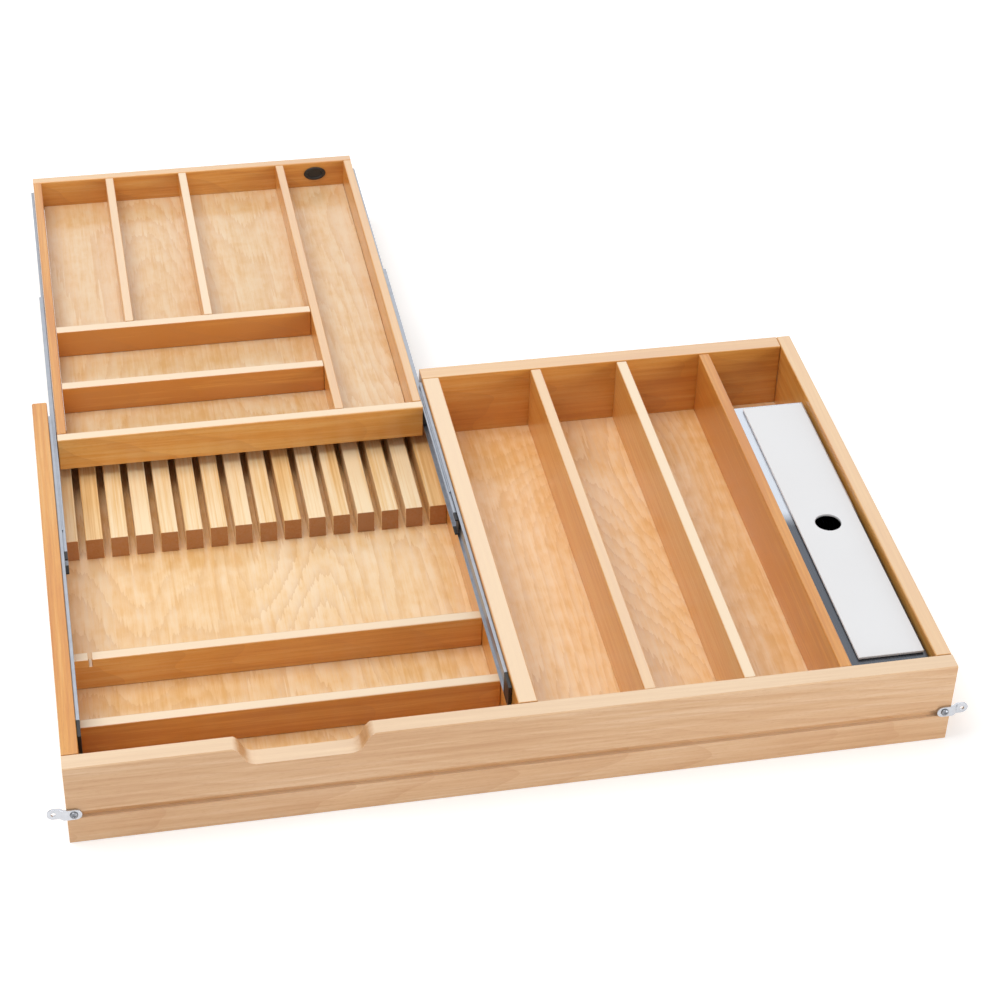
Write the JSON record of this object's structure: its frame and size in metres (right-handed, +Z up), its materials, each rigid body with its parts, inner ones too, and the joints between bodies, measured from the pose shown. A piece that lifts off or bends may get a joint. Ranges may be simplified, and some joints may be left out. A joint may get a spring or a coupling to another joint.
{
  "type": "drawer organizer insert",
  "caption": "Maple drawer organizer: a wide divided box with long compartments, a knife block, a lidded bin and an upper divided tray that slides on ball-bearing slides.",
  "frame": {"origin": "middle of the front board's bottom edge, in the board's length and in its thickness", "axes": "+X to the right as seen from the front, +Y from the front board to the rear, the way the upper tray is pushed back, +Z up"},
  "size_m": [0.881, 1.0396, 0.093],
  "materials": {
    "maple": "clear satin lacquer on solid maple",
    "maple_ply": "clear satin lacquer on maple plywood",
    "knife_block_maple": "clear satin lacquer on solid maple strips",
    "zinc_plate": "zinc plated sheet steel",
    "black_plastic": "moulded, matte",
    "clip_metal": "bright zinc",
    "screw_steel": "dark zinc",
    "black_rubber": "matte",
    "bin_steel": "satin sheet steel",
    "lid_white": "satin white"
  },
  "bodies": {
    "box": {"drawer_front": "maple", "drawer_back": "maple", "drawer_side_left": "maple", "drawer_side_right": "maple", "drawer_bottom": "maple_ply", "center_partition": "maple", "right_divider_1": "maple", "right_divider_2": "maple", "right_divider_3": "maple", "left_divider_front": "maple", "left_divider_rear": "maple", "knife_slat_01": "knife_block_maple", "knife_slat_02": "knife_block_maple", "knife_slat_03": "knife_block_maple", "knife_slat_04": "knife_block_maple", "knife_slat_05": "knife_block_maple", "knife_slat_06": "knife_block_maple", "knife_slat_07": "knife_block_maple", "knife_slat_08": "knife_block_maple", "knife_slat_09": "knife_block_maple", "knife_slat_10": "knife_block_maple", "knife_slat_11": "knife_block_maple", "knife_slat_12": "knife_block_maple", "knife_slat_13": "knife_block_maple", "knife_slat_14": "knife_block_maple", "knife_slat_15": "knife_block_maple", "knife_slat_16": "knife_block_maple", "slide_fixed_left": "zinc_plate", "slide_fixed_right": "zinc_plate", "slide_bumper_left": "black_plastic", "slide_bumper_right": "black_plastic", "front_clip_left": "clip_metal", "front_clip_right": "clip_metal", "clip_screw_left": "screw_steel", "clip_screw_right": "screw_steel"},
    "tray": {"tray_front": "maple", "tray_back": "maple", "tray_side_left": "maple", "tray_side_right": "maple", "tray_bottom": "maple_ply", "tray_divider_left": "maple", "tray_divider_middle": "maple", "tray_divider_long": "maple", "tray_cross_front": "maple", "tray_cross_rear": "maple", "tray_grommet": "black_rubber", "slide_inner_left": "zinc_plate", "slide_inner_right": "zinc_plate", "slide_tip_left": "black_plastic", "slide_tip_right": "black_plastic"},
    "slide_middle_left": {"slide_middle_left": "zinc_plate", "slide_catch_left": "black_plastic"},
    "ball_cage_outer_left": {"ball_cage_outer_left": "zinc_plate"},
    "ball_cage_inner_left": {"ball_cage_inner_left": "zinc_plate"},
    "slide_middle_right": {"slide_middle_right": "zinc_plate", "slide_catch_right": "black_plastic"},
    "ball_cage_outer_right": {"ball_cage_outer_right": "zinc_plate"},
    "ball_cage_inner_right": {"ball_cage_inner_right": "zinc_plate"},
    "bin": {"storage_bin": "bin_steel"},
    "lid": {"bin_lid": "lid_white"}
  },
  "joints": [
    {"name": "tray_slide", "type": "slide", "parent": "box", "child": "tray", "axis": [0, -1, 0], "range_m": [0, 0.473]},
    {"name": "slide_middle_left_travel", "type": "slide", "parent": "box", "child": "slide_middle_left", "axis": [0, -1, 0], "range_m": [0, 0.2367]},
    {"name": "ball_cage_outer_left_travel", "type": "slide", "parent": "box", "child": "ball_cage_outer_left", "axis": [0, -1, 0], "range_m": [0, 0.11845]},
    {"name": "ball_cage_inner_left_travel", "type": "slide", "parent": "box", "child": "ball_cage_inner_left", "axis": [0, -1, 0], "range_m": [0, 0.35495]},
    {"name": "slide_middle_right_travel", "type": "slide", "parent": "box", "child": "slide_middle_right", "axis": [0, -1, 0], "range_m": [0, 0.2367]},
    {"name": "ball_cage_outer_right_travel", "type": "slide", "parent": "box", "child": "ball_cage_outer_right", "axis": [0, -1, 0], "range_m": [0, 0.11845]},
    {"name": "ball_cage_inner_right_travel", "type": "slide", "parent": "box", "child": "ball_cage_inner_right", "axis": [0, -1, 0], "range_m": [0, 0.35495]},
    {"name": "bin_lift", "type": "slide", "parent": "box", "child": "bin", "axis": [0, 0, 1], "range_m": [0, 0.09]},
    {"name": "lid_lift", "type": "slide", "parent": "bin", "child": "lid", "axis": [0, 0, 1], "range_m": [0, 0.05]}
  ],
  "couplings": [
    {"joint": "slide_middle_left_travel", "follows": "tray_slide", "ratio": 0.5},
    {"joint": "ball_cage_outer_left_travel", "follows": "tray_slide", "ratio": 0.25},
    {"joint": "ball_cage_inner_left_travel", "follows": "tray_slide", "ratio": 0.75},
    {"joint": "slide_middle_right_travel", "follows": "tray_slide", "ratio": 0.5},
    {"joint": "ball_cage_outer_right_travel", "follows": "tray_slide", "ratio": 0.25},
    {"joint": "ball_cage_inner_right_travel", "follows": "tray_slide", "ratio": 0.75}
  ]
}
